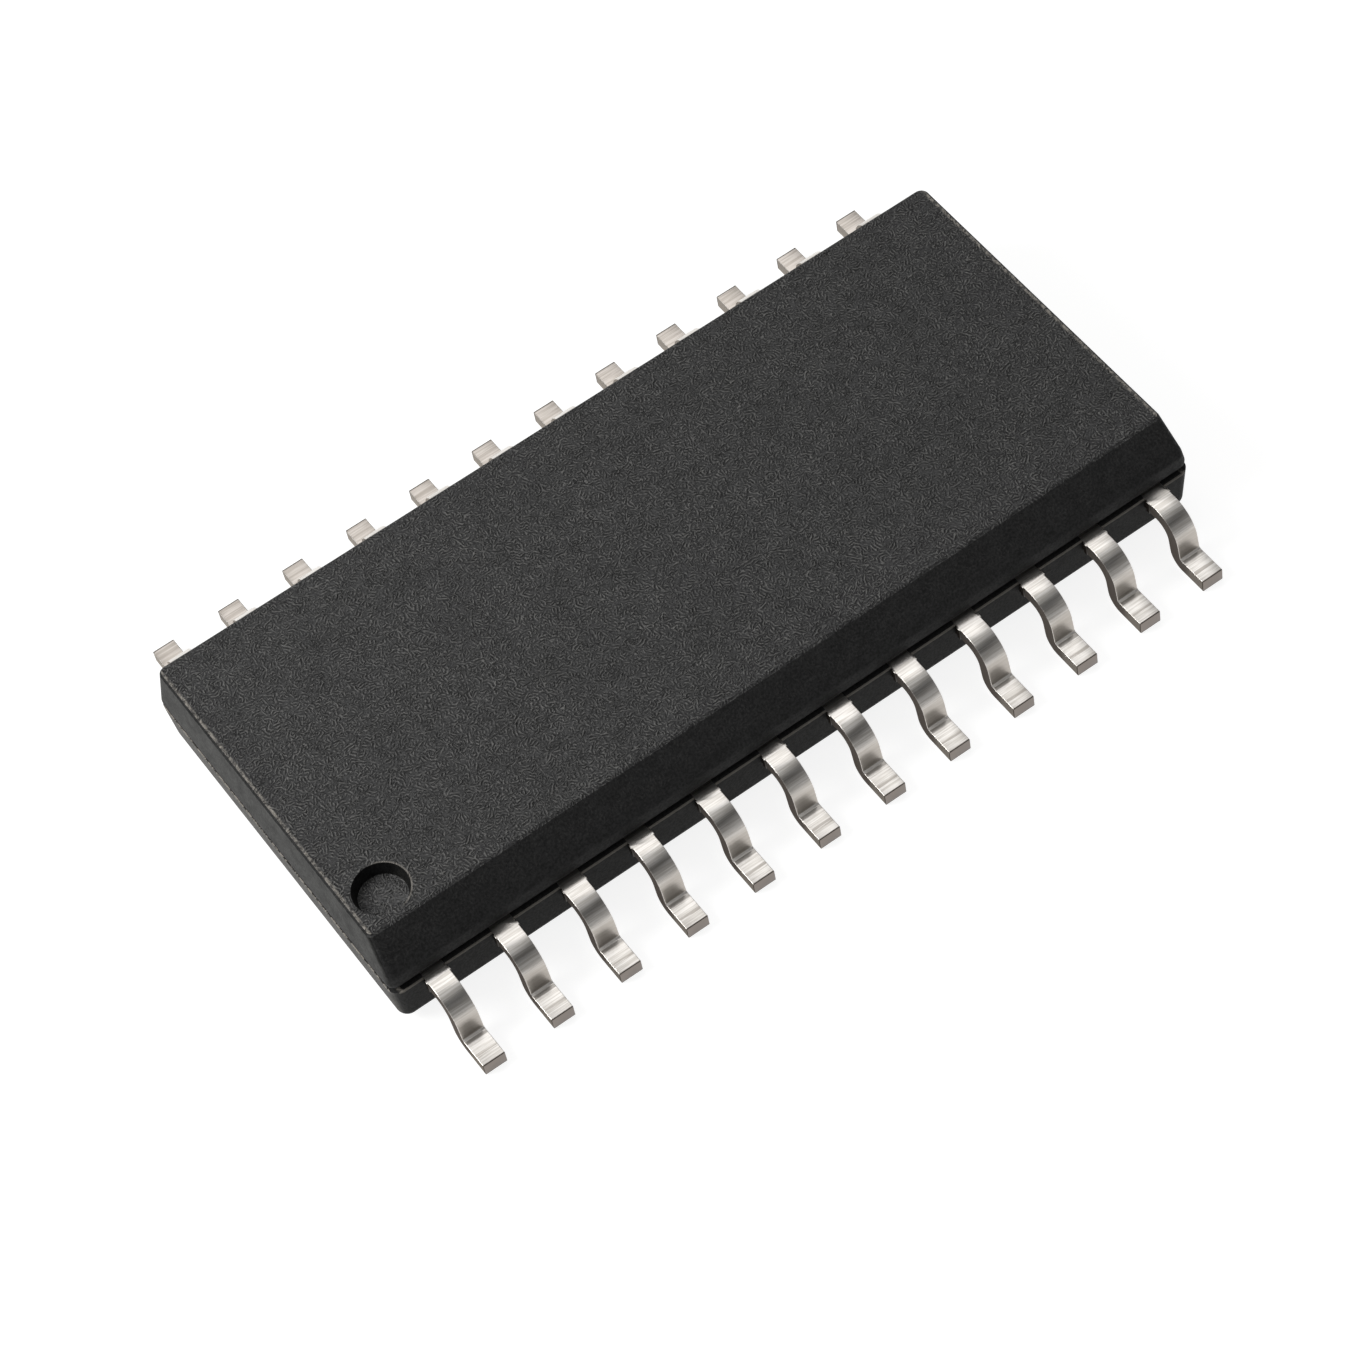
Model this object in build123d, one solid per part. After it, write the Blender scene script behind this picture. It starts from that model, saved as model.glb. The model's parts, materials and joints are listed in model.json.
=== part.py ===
"""Small-outline integrated circuit with 24 gull-wing leads, 7.1 mm wide body, 1.27 mm pitch.

Units are millimetres. X runs along the row of leads, Y across the body and Z up. The origin
lies on the solder plane under the middle of the body. Lead 1 is the one at -X on the -Y side,
beside the dimple; leads 2 to 12 follow towards +X, and 13 to 24 come back on the +Y side.
Each file in parts/ holds one piece: the moulded body, a lead, or a piece sealed inside it.
"""

from build123d import *

import math
import os

# Leads
LEADS_PER_SIDE = 12
LEAD_PITCH = 1.27
LEAD_SPAN = 9.98             # toe to toe across the part
LEAD_WIDTH = 0.40
FRAME_THICKNESS = 0.25       # the strip that the leads and the die pad are stamped from
FOOT_LENGTH = 0.68           # from the toe back to the corner under the leg
LEG_LEAN = 9.0               # degrees that the leg leans outward from upright
UPPER_BEND_INSIDE = 0.30     # radii on the hollow side of the two bends
LOWER_BEND_INSIDE = 0.05
DAM_STUB_WIDTH = 0.44        # what is left of the bar that was cut away between the leads
DAM_STUB_LENGTH = 0.08
DAM_STUB_GAP = 0.05          # from the body to the stub

# Moulded body
BODY_LENGTH = 15.50
BODY_WIDTH = 7.10
STANDOFF = 0.10              # solder plane to the underside of the body
LOWER_HEIGHT = 0.91          # underside to the parting plane
UPPER_HEIGHT = 0.91          # parting plane to the top
UPPER_DRAFT = 8.0            # degrees, on the ends and sides of each half
LOWER_DRAFT = 4.0
UPPER_ROUND = 0.15           # upright corners and lower edge of each half
LOWER_ROUND = 0.20
LOWER_END_STEP = 0.02        # the lower half is this much shorter at each end
UPPER_SIDE_STEP = 0.03       # the upper half is this much narrower at each side
TOP_CHAMFER = 0.03
BEVEL_WIDTH = 0.42           # the bevel along the side of lead 1
BEVEL_HEIGHT = 0.58
BEVEL_ROUND = 0.10
DIMPLE_RADIUS = 0.47
DIMPLE_FLOOR_RADIUS = 0.40
DIMPLE_DEPTH = 0.22
DIMPLE_FROM_END = 0.62       # dimple centre to the top edge at -X
DIMPLE_FROM_BEVEL = 0.62     # dimple centre to the upper edge of the bevel
EJECTOR_RADIUS = 0.75        # two marks of the ejector pins in the underside
EJECTOR_DEPTH = 0.04
EJECTOR_SPACING = 9.0

# Inner ends of the leads
LOCK_WIDTH = 0.62            # wider root that keeps a lead in the body
LOCK_LENGTH = 0.35
LOCK_COVER = 0.20            # body side to the root
FINGER_WIDTH = 0.28
SIDE_KNEE = 0.75             # body side to the first turn of a finger
SIDE_TIP_PITCH = 0.75
SIDE_TIP_LENGTH = 0.32       # straight end of a finger beside the die pad
END_KNEES = (1.70, 1.20)     # first turns of the two fingers that go to the pad's end
END_TIP_PLACES = (0.55, 1.05)
END_TIP_LENGTHS = (0.60, 0.35)
TIP_GAP = 0.25               # finger to die pad

# Die pad, die and wires
PAD_LENGTH = 6.00
PAD_WIDTH = 2.60
PAD_DOWNSET = 0.25
TIE_BAR_WIDTH = 0.40
TIE_RAMP = 45.0              # degrees
TIE_BAR_COVER = 0.20         # mould compound over the cut end of the tie bar
DIE_LENGTH = 4.00
DIE_WIDTH = 2.00
DIE_THICKNESS = 0.28
ATTACH_THICKNESS = 0.03
ATTACH_MARGIN = 0.10         # fillet of glue that shows round the die
BOND_PAD_PITCH = 0.45
BOND_PAD_INSET = 0.13
END_BOND_PITCH = 0.40
WIRE_DIAMETER = 0.03
WIRE_LOOP = 0.16             # height of the loop over the die
WIRE_SIDES = 4               # a prism of this many sides stands in for the round wire
BALL_DIAMETER = 0.08
BALL_HEIGHT = 0.03
BALL_SIDES = 4
STITCH_LENGTH = 0.21
STITCH_WIDTH = 0.07
STITCH_HEIGHT = 0.03
STITCH_FROM_TIP = 0.14       # tip of the finger to the middle of the stitch
WIRE_LIFT = 0.005            # underside of the wire over the finger, where it runs into the stitch

LEVEL_MATCH = 1e-4           # heights closer than this are one level

# Levels and places that follow from the sizes above
PARTING_Z = STANDOFF + LOWER_HEIGHT
TOP_Z = PARTING_Z + UPPER_HEIGHT
FRAME_Z = PARTING_Z - FRAME_THICKNESS / 2
FRAME_TOP_Z = PARTING_Z
PAD_TOP_Z = FRAME_TOP_Z - PAD_DOWNSET
DIE_Z = PAD_TOP_Z + ATTACH_THICKNESS
DIE_TOP_Z = DIE_Z + DIE_THICKNESS
SIDE_Y = BODY_WIDTH / 2
UPPER_SIDE_Y = SIDE_Y - UPPER_SIDE_STEP
TOE_Y = LEAD_SPAN / 2


def edges_at(shape, height):
    """Edges of the shape that lie in the level plane at that height."""
    return shape.edges().filter_by_position(Axis.Z, height - LEVEL_MATCH, height + LEVEL_MATCH)


def drafted_half(length, width, base_z, height, draft, rounded_z, radius):
    """Half of the body, widest at base_z and drafted towards base_z + height.

    The upright corners and the edges at rounded_z are rounded.
    """
    base = Plane.XY.offset(base_z) * Rectangle(length, width)
    half = extrude(base, amount=height, taper=draft)
    upright = half.edges().filter_by(lambda edge: abs((edge % 0.5).Z) > 0.5)
    return fillet(upright + edges_at(half, rounded_z), radius)


def bevel_line():
    """Places of the bevel's two long edges in Y and Z: the upper and the lower one."""
    slope = math.tan(math.radians(UPPER_DRAFT))
    upper = (-(UPPER_SIDE_Y - UPPER_HEIGHT * slope - BEVEL_WIDTH), TOP_Z)
    lower_z = TOP_Z - BEVEL_HEIGHT
    lower = (-(UPPER_SIDE_Y - (lower_z - PARTING_Z) * slope), lower_z)
    return upper, lower


def bevel_cutter():
    """Prism that takes the bevel off the -Y edge of the top."""
    (upper_y, upper_z), (lower_y, lower_z) = bevel_line()
    run_y, run_z = upper_y - lower_y, upper_z - lower_z
    profile = Polyline(
        (upper_y + run_y, upper_z + run_z),
        (lower_y - run_y, lower_z - run_z),
        (lower_y - run_y, upper_z + run_z),
        close=True,
    )
    face = make_face(Plane.YZ * profile)
    return extrude(face, amount=BODY_LENGTH, both=True)


def upper_half():
    """Upper half of the body with the bevel, the dimple and its rounded edges."""
    half = drafted_half(
        BODY_LENGTH, 2 * UPPER_SIDE_Y, PARTING_Z, UPPER_HEIGHT, UPPER_DRAFT, PARTING_Z, UPPER_ROUND
    )
    half = half - bevel_cutter()
    (upper_y, _), (lower_y, lower_z) = bevel_line()
    lower_edge = half.edges().filter_by(Axis.X).sort_by_distance((0, lower_y, lower_z))[0]
    half = fillet(lower_edge, BEVEL_ROUND)
    half = chamfer(edges_at(half, TOP_Z), TOP_CHAMFER)
    top_end = BODY_LENGTH / 2 - UPPER_HEIGHT * math.tan(math.radians(UPPER_DRAFT))
    dimple_x = -(top_end - DIMPLE_FROM_END)
    dimple_y = upper_y + DIMPLE_FROM_BEVEL
    dimple = Pos(dimple_x, dimple_y, TOP_Z) * Cone(
        DIMPLE_FLOOR_RADIUS, DIMPLE_RADIUS, DIMPLE_DEPTH, align=(Align.CENTER, Align.CENTER, Align.MAX)
    )
    return half - dimple


def lower_half():
    """Lower half of the body with its rounded edges and the ejector marks."""
    lower_length = BODY_LENGTH - 2 * LOWER_END_STEP
    half = drafted_half(
        lower_length, BODY_WIDTH, PARTING_Z, -LOWER_HEIGHT, LOWER_DRAFT, STANDOFF, LOWER_ROUND
    )
    mark = Cylinder(EJECTOR_RADIUS, EJECTOR_DEPTH, align=(Align.CENTER, Align.CENTER, Align.MIN))
    for side in (-1, 1):
        half = half - Pos(side * EJECTOR_SPACING / 2, 0, STANDOFF) * mark
    return half


def flat_strip(points, width):
    """Flat strip of the frame, as thick as the sheet, along a line of (x, y) points."""
    path = Polyline(*[(x, y, FRAME_Z) for x, y in points])
    start = Plane(path @ 0, x_dir=(0, 0, 1), z_dir=path % 0)
    return sweep(start * Rectangle(FRAME_THICKNESS, width), path, transition=Transition.RIGHT)


def gull_wing(x):
    """Outer end of a -Y lead: shoulder, two bends, leg and foot, ending at the toe."""
    knee_y = -(TOE_Y - FOOT_LENGTH)
    foot_z = FRAME_THICKNESS / 2
    shoulder_y = knee_y + (FRAME_Z - foot_z) * math.tan(math.radians(LEG_LEAN))
    path = FilletPolyline(
        (x, -SIDE_Y + LOCK_COVER + LOCK_LENGTH / 2, FRAME_Z),
        (x, shoulder_y, FRAME_Z),
        (x, knee_y, foot_z),
        (x, -TOE_Y, foot_z),
        radius=(UPPER_BEND_INSIDE + FRAME_THICKNESS / 2, LOWER_BEND_INSIDE + FRAME_THICKNESS / 2),
    )
    start = Plane(path @ 0, x_dir=(1, 0, 0), z_dir=path % 0)
    section = Rectangle(LEAD_WIDTH, FRAME_THICKNESS)
    return sweep(start * section, path)


def finger_route(index):
    """Points of a finger from its root to its tip, for a -Y lead counted from -X."""
    x = (index - (LEADS_PER_SIDE - 1) / 2) * LEAD_PITCH
    hand = math.copysign(1, x)
    root_y = -SIDE_Y + LOCK_COVER + LOCK_LENGTH / 2
    from_end = min(index, LEADS_PER_SIDE - 1 - index)
    if from_end < len(END_KNEES):
        tip_x = hand * (PAD_LENGTH / 2 + TIP_GAP)
        tip_y = -END_TIP_PLACES[from_end]
        turn_x = tip_x + hand * END_TIP_LENGTHS[from_end]
        return [(x, root_y), (x, -SIDE_Y + END_KNEES[from_end]), (turn_x, tip_y), (tip_x, tip_y)]
    tip_x = (index - (LEADS_PER_SIDE - 1) / 2) * SIDE_TIP_PITCH
    tip_y = -(PAD_WIDTH / 2 + TIP_GAP)
    return [(x, root_y), (x, -SIDE_Y + SIDE_KNEE), (tip_x, tip_y - SIDE_TIP_LENGTH), (tip_x, tip_y)]


def lead(index):
    """One whole -Y lead, from the finger inside the body to the toe."""
    x = (index - (LEADS_PER_SIDE - 1) / 2) * LEAD_PITCH
    outer = gull_wing(x)
    lock_y = -SIDE_Y + LOCK_COVER + LOCK_LENGTH / 2
    lock = Pos(x, lock_y, FRAME_Z) * Box(LOCK_WIDTH, LOCK_LENGTH, FRAME_THICKNESS)
    stub_y = -SIDE_Y - DAM_STUB_GAP - DAM_STUB_LENGTH / 2
    stub = Pos(x, stub_y, FRAME_Z) * Box(DAM_STUB_WIDTH, DAM_STUB_LENGTH, FRAME_THICKNESS)
    finger = flat_strip(finger_route(index), FINGER_WIDTH)
    return outer + lock + stub + finger


def die_pad():
    """Die pad with a tie bar at each end that ramps up to the level of the leads."""
    pad_z = FRAME_Z - PAD_DOWNSET
    pad = Pos(0, 0, pad_z) * Box(PAD_LENGTH, PAD_WIDTH, FRAME_THICKNESS)
    ramp_start = PAD_LENGTH / 2 + FRAME_THICKNESS
    ramp_end = ramp_start + PAD_DOWNSET / math.tan(math.radians(TIE_RAMP))
    bar_end = BODY_LENGTH / 2 - LOWER_END_STEP - TIE_BAR_COVER
    for hand in (-1, 1):
        path = Polyline(
            (hand * PAD_LENGTH / 2, 0, pad_z),
            (hand * ramp_start, 0, pad_z),
            (hand * ramp_end, 0, FRAME_Z),
            (hand * bar_end, 0, FRAME_Z),
        )
        start = Plane(path @ 0, x_dir=(0, 1, 0), z_dir=path % 0)
        bar = sweep(start * Rectangle(TIE_BAR_WIDTH, FRAME_THICKNESS), path, transition=Transition.RIGHT)
        pad = pad + bar
    return pad


def bond_place(index):
    """Place of the bond on the die, in x and y, for a -Y lead counted from -X."""
    middle = (LEADS_PER_SIDE - 1) / 2
    from_end = min(index, LEADS_PER_SIDE - 1 - index)
    if from_end < len(END_KNEES):
        x = math.copysign(DIE_LENGTH / 2 - BOND_PAD_INSET, index - middle)
        return x, -(from_end + 0.5) * END_BOND_PITCH
    return (index - middle) * BOND_PAD_PITCH, -(DIE_WIDTH / 2 - BOND_PAD_INSET)


def bond_wire(index):
    """Wire from a ball on the die, over a low loop, to a stitch on the finger of a -Y lead."""
    bond_x, bond_y = bond_place(index)
    before_tip, tip = finger_route(index)[-2:]
    back = Vector(before_tip[0] - tip[0], before_tip[1] - tip[1], 0).normalized()
    landing = Vector(tip[0], tip[1], FRAME_TOP_Z) + back * STITCH_FROM_TIP
    wire_z = FRAME_TOP_Z + WIRE_DIAMETER / 2 + WIRE_LIFT
    level = Vector(landing.X, landing.Y, wire_z)
    ball_middle = Vector(bond_x, bond_y, DIE_TOP_Z + BALL_HEIGHT / 2)
    over_die = Vector(bond_x, bond_y, DIE_TOP_Z + WIRE_LOOP)
    heading = (Vector(level.X, level.Y, 0) - Vector(bond_x, bond_y, 0)).normalized()
    before_landing = level - heading * STITCH_LENGTH / 3
    after_landing = level + heading * STITCH_LENGTH / 3
    path = Polyline(ball_middle, over_die, before_landing, after_landing)
    start = Plane(path @ 0, z_dir=path % 0)
    wire = sweep(start * RegularPolygon(WIRE_DIAMETER / 2, WIRE_SIDES), path, transition=Transition.RIGHT)
    ball_plane = Plane.XY.offset(DIE_TOP_Z)
    ball_outline = RegularPolygon(BALL_DIAMETER / 2, BALL_SIDES)
    ball = extrude(ball_plane * Pos(bond_x, bond_y) * ball_outline, BALL_HEIGHT)
    turn = math.degrees(math.atan2(heading.Y, heading.X))
    stitch_at = Pos(landing.X, landing.Y, FRAME_TOP_Z) * Rot(0, 0, turn)
    stitch = stitch_at * Box(
        STITCH_LENGTH, STITCH_WIDTH, STITCH_HEIGHT, align=(Align.CENTER, Align.CENTER, Align.MIN)
    )
    return wire + ball + stitch


def turned_copies(pieces):
    """The pieces of the -Y side, then the same turned half round for the +Y side."""
    return pieces + [Rot(0, 0, 180) * piece for piece in pieces]


def build():
    """Every piece of the part, by the name of its node."""
    numbers = range(LEADS_PER_SIDE)
    parts = {}
    for number, piece in enumerate(turned_copies([lead(i) for i in numbers]), start=1):
        parts[f"lead_{number:02d}"] = piece
    parts["die_pad"] = die_pad()
    on_plane = (Align.CENTER, Align.CENTER, Align.MIN)
    attach_length = DIE_LENGTH + 2 * ATTACH_MARGIN
    attach_width = DIE_WIDTH + 2 * ATTACH_MARGIN
    attach = Box(attach_length, attach_width, ATTACH_THICKNESS, align=on_plane)
    die = Box(DIE_LENGTH, DIE_WIDTH, DIE_THICKNESS, align=on_plane)
    parts["die_attach"] = Pos(0, 0, PAD_TOP_Z) * attach
    parts["die"] = Pos(0, 0, DIE_Z) * die
    for number, piece in enumerate(turned_copies([bond_wire(i) for i in numbers]), start=1):
        parts[f"bond_wire_{number:02d}"] = piece
    body = upper_half() + lower_half()
    parts["moulded_body"] = body - list(parts.values())
    return parts


def main():
    """Write one file for each piece."""
    os.makedirs("parts", exist_ok=True)
    for name, shape in build().items():
        export_step(shape, f"parts/{name}.step")


main()
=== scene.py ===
"""Looks of a 24-lead wide-body small-outline integrated circuit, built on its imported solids.

Every object is in metres, in the frame of the solids: X along the rows of leads, Y across the
body and Z up from the solder plane. The dimple and the bevel mark lead 1, at -X on the -Y side.
"""

import json
import logging
import math
from dataclasses import dataclass, field
from enum import Enum
from functools import partial

import bpy
from mathutils import Matrix, Vector


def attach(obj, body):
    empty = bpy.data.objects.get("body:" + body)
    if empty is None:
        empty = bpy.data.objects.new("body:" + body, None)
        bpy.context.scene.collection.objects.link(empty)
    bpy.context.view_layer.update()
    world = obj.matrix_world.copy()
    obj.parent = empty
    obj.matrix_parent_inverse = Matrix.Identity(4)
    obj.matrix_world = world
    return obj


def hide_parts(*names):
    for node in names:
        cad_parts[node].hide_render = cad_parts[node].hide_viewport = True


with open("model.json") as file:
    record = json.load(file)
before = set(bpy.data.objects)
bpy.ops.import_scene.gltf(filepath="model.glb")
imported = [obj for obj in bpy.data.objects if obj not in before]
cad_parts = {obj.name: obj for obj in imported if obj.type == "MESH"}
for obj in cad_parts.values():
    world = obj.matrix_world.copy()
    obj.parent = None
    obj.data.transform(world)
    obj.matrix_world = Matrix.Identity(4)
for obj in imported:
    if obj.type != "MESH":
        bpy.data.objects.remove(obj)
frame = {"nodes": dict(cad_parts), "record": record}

Range = tuple[float, float]
Colour = tuple[float, float, float, float]

LOG = logging.getLogger("scene")
MM = 0.001
PHOTO_PIXELS = 1366
ROOT_BODY = "root"
WHITE: Colour = (1.0, 1.0, 1.0, 1.0)
BLACK: Colour = (0.0, 0.0, 0.0, 1.0)

# Results at the two ends of a range, where they fall instead of rise.
FALLING: Range = (1.0, 0.0)
# Nearly all that a cloudy pattern gives lies in here.
CLOUD_RANGE: Range = (0.3, 0.7)
# Share of a line's reach over which it has its full strength.
LINE_CORE = 0.4
# Y in millimetres from the near row of leads to the far one, with the body between them.
ROW_TO_ROW: Range = (-1.0, 1.0)


class Slot(Enum):
    """Material slots of the record; the sealed pieces, not the leads, take their finish from them."""

    TIN_PLATED_LEADS = "tin_plated_leads"
    COPPER_FRAME = "copper_frame"
    DIE_GLUE = "die_glue"
    SILICON = "silicon"
    BOND_WIRES = "bond_wires"


class Node(Enum):
    """Kinds of node: type, settings, the inputs that are given in order, and the output used."""

    TIMES = ("ShaderNodeMath", {"operation": "MULTIPLY"}, (0, 1), 0)
    PLUS = ("ShaderNodeMath", {"operation": "ADD"}, (0, 1), 0)
    MINUS = ("ShaderNodeMath", {"operation": "SUBTRACT"}, (0, 1), 0)
    LARGER = ("ShaderNodeMath", {"operation": "MAXIMUM"}, (0, 1), 0)
    ABOVE = ("ShaderNodeMath", {"operation": "GREATER_THAN"}, (0, 1), 0)
    BELOW = ("ShaderNodeMath", {"operation": "LESS_THAN"}, (0, 1), 0)
    SIZE_OF = ("ShaderNodeMath", {"operation": "ABSOLUTE"}, (0,), 0)
    SPAN = (
        "ShaderNodeMapRange",
        {"interpolation_type": "SMOOTHSTEP"},
        ("Value", "From Min", "From Max", "To Min", "To Max"),
        "Result",
    )
    VECTOR_TIMES = ("ShaderNodeVectorMath", {"operation": "MULTIPLY"}, (0, 1), "Vector")
    DISTANCE = ("ShaderNodeVectorMath", {"operation": "DISTANCE"}, (0, 1), "Value")
    X_OF = ("ShaderNodeSeparateXYZ", {}, ("Vector",), "X")
    Y_OF = ("ShaderNodeSeparateXYZ", {}, ("Vector",), "Y")
    Z_OF = ("ShaderNodeSeparateXYZ", {}, ("Vector",), "Z")
    OBJECT_PLACE = ("ShaderNodeTexCoord", {}, (), "Object")
    SKY_DIRECTION = ("ShaderNodeTexCoord", {}, (), "Generated")
    SMOOTH_NORMAL = ("ShaderNodeNewGeometry", {}, (), "Normal")
    FLAT_NORMAL = ("ShaderNodeNewGeometry", {}, (), "True Normal")
    CAMERA_RAY = ("ShaderNodeLightPath", {}, (), "Is Camera Ray")
    GLOSSY_RAY = ("ShaderNodeLightPath", {}, (), "Is Glossy Ray")
    TRANSMISSION_RAY = ("ShaderNodeLightPath", {}, (), "Is Transmission Ray")
    STRETCHED = ("ShaderNodeMapping", {}, ("Vector", "Scale"), "Vector")
    CLOUD = ("ShaderNodeTexNoise", {}, ("Vector", "Scale", "Detail", "Roughness"), "Fac")
    STROKES = (
        "ShaderNodeTexGabor",
        {"gabor_type": "2D"},
        ("Vector", "Scale", "Frequency", "Anisotropy", "Orientation"),
        "Value",
    )
    BLEND = ("ShaderNodeMix", {"data_type": "RGBA"}, (0, 6, 7), 2)
    TINT = ("ShaderNodeMix", {"data_type": "RGBA", "blend_type": "MULTIPLY"}, (0, 6, 7), 2)
    RAMP = ("ShaderNodeValToRGB", {}, ("Fac",), "Color")
    BUMP = ("ShaderNodeBump", {}, ("Height", "Distance", "Strength", "Normal"), "Normal")
    PLASTIC = (
        "ShaderNodeBsdfPrincipled",
        {},
        ("Base Color", "Roughness", "IOR", "Specular IOR Level", "Normal"),
        "BSDF",
    )
    METAL = (
        "ShaderNodeBsdfPrincipled",
        {},
        ("Base Color", "Metallic", "Roughness", "Specular Tint", "Normal"),
        "BSDF",
    )
    DIFFUSE = ("ShaderNodeBsdfDiffuse", {}, ("Color",), "BSDF")
    GLOW = ("ShaderNodeEmission", {}, ("Color", "Strength"), "Emission")
    BOTH_SHADERS = ("ShaderNodeAddShader", {}, (0, 1), "Shader")
    SURFACE = ("ShaderNodeOutputMaterial", {}, ("Surface",), None)
    SKY = ("ShaderNodeBackground", {}, ("Color", "Strength"), "Background")
    WORLD = ("ShaderNodeOutputWorld", {}, ("Surface",), None)


def linear(hex_colour: str) -> Colour:
    """Turn an sRGB hex colour into a linear one.

    Args:
        hex_colour: Six hex digits, with or without a leading #.

    Returns:
        Linear red, green, blue and an alpha of 1.
    """
    digits = hex_colour.lstrip("#")
    channels = [int(digits[i : i + 2], 16) / 255 for i in (0, 2, 4)]
    values = [c / 12.92 if c <= 0.04045 else ((c + 0.055) / 1.055) ** 2.4 for c in channels]
    return values[0], values[1], values[2], 1.0


def add_node(tree: bpy.types.NodeTree, kind: Node, *values: object) -> bpy.types.NodeSocket | None:
    """Add a node with its settings, values and links.

    Args:
        tree: Node tree that takes the node.
        kind: Kind of node.
        values: A value, or the socket that feeds it, for each of the kind's inputs in order. The
            inputs that are left out at the end keep their defaults.

    Returns:
        The output socket that the kind uses, or None where it ends the tree.
    """
    type_name, settings, inputs, output = kind.value
    node = tree.nodes.new(type_name)
    for name, setting in settings.items():
        setattr(node, name, setting)
    for name, value in zip(inputs, values):
        if isinstance(value, bpy.types.NodeSocket):
            tree.links.new(value, node.inputs[name])
        else:
            node.inputs[name].default_value = value
    return None if output is None else node.outputs[output]


def new_material(name: str) -> tuple[bpy.types.Material, bpy.types.NodeTree]:
    """Make an empty node material.

    Args:
        name: Name of the real material.

    Returns:
        The material and its node tree.
    """
    material = bpy.data.materials.new(name)
    material.use_nodes = True
    material.node_tree.nodes.clear()
    return material, material.node_tree


def line_at(
    tree: bpy.types.NodeTree, value: bpy.types.NodeSocket, middle: float, reach: float
) -> bpy.types.NodeSocket:
    """Draw a soft line where a value is near its middle.

    Args:
        tree: Node tree of the material.
        value: Socket to compare.
        middle: Value that gives 1.
        reach: Distance from the middle that gives 0.

    Returns:
        Socket that is 1 on the line and 0 away from it.
    """
    add = partial(add_node, tree)
    off = add(Node.SIZE_OF, add(Node.MINUS, value, middle))
    return add(Node.SPAN, off, reach * LINE_CORE, reach, *FALLING)


def millimetres(
    tree: bpy.types.NodeTree, stretch: tuple[float, float, float] = (1, 1, 1)
) -> bpy.types.NodeSocket:
    """Give the object coordinates in millimetres.

    Args:
        tree: Node tree of the material.
        stretch: Extra scale along each axis.

    Returns:
        Socket of the scaled coordinates.
    """
    factors = tuple(s / MM for s in stretch)
    return add_node(tree, Node.STRETCHED, add_node(tree, Node.OBJECT_PLACE), factors)


@dataclass(frozen=True)
class Grain:
    """A cloudy pattern of a real size: the width of its cells, and how many finer layers it has."""

    cell_mm: float
    layers: float
    layer_share: float = 0.6

    def draw(self, tree: bpy.types.NodeTree, place: bpy.types.NodeSocket) -> bpy.types.NodeSocket:
        """Draw the pattern.

        Args:
            tree: Node tree of the material.
            place: Coordinates in millimetres.

        Returns:
            Socket between 0 and 1, mostly near 0.5.
        """
        return add_node(tree, Node.CLOUD, place, 1 / self.cell_mm, self.layers, self.layer_share)


@dataclass(frozen=True)
class BodyPlaces:
    """Places on the body, in millimetres, that its finish follows."""

    parting_z: float = 1.01
    relief_z: float = 1.5
    ledge_y: float = 3.526
    ledge_x: float = 7.713
    top_end_x: float = 7.585
    dimple_x: float = -7.002
    dimple_y: float = -2.352
    dimple_radius: float = 0.47
    dimple_floor_z: float = 1.70


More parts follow.
